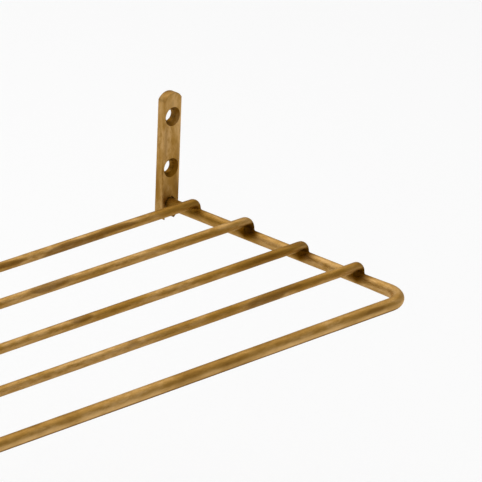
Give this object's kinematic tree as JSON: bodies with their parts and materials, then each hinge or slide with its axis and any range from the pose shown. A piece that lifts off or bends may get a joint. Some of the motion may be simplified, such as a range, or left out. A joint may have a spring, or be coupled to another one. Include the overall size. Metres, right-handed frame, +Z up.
{
  "type": "wall mounted fold down drying rack",
  "caption": "Shallow metal airing rack: a bent frame bar with raised cross rods stands out from flat wall brackets and folds down against the wall.",
  "frame": {"origin": "on the wall plane, midway between the two brackets, at the height of the pivot pins", "axes": "+X along the wall to the right seen from the room, +Y into the wall, +Z up; the rack stands out towards -Y"},
  "size_m": [0.615, 0.211, 0.0826],
  "materials": {
    "bracket_brass": "antique, satin, rubbed edges",
    "pin_brass": "antique, filed flush",
    "bar_brass": "antique, satin, mottled",
    "rod_brass": "antique, satin, mottled"
  },
  "bodies": {
    "brackets": {"wall_bracket_left": "bracket_brass", "wall_bracket_right": "bracket_brass", "pivot_pin_left": "pin_brass", "pivot_pin_right": "pin_brass"},
    "rack": {"frame_bar": "bar_brass", "cross_rod_1": "rod_brass", "cross_rod_2": "rod_brass", "cross_rod_3": "rod_brass", "cross_rod_4": "rod_brass"}
  },
  "joints": [
    {"name": "fold", "type": "hinge", "parent": "brackets", "child": "rack", "pos_m": [0, -0.0038, 0], "axis": [1, 0, 0], "range_deg": [0, 89]}
  ]
}
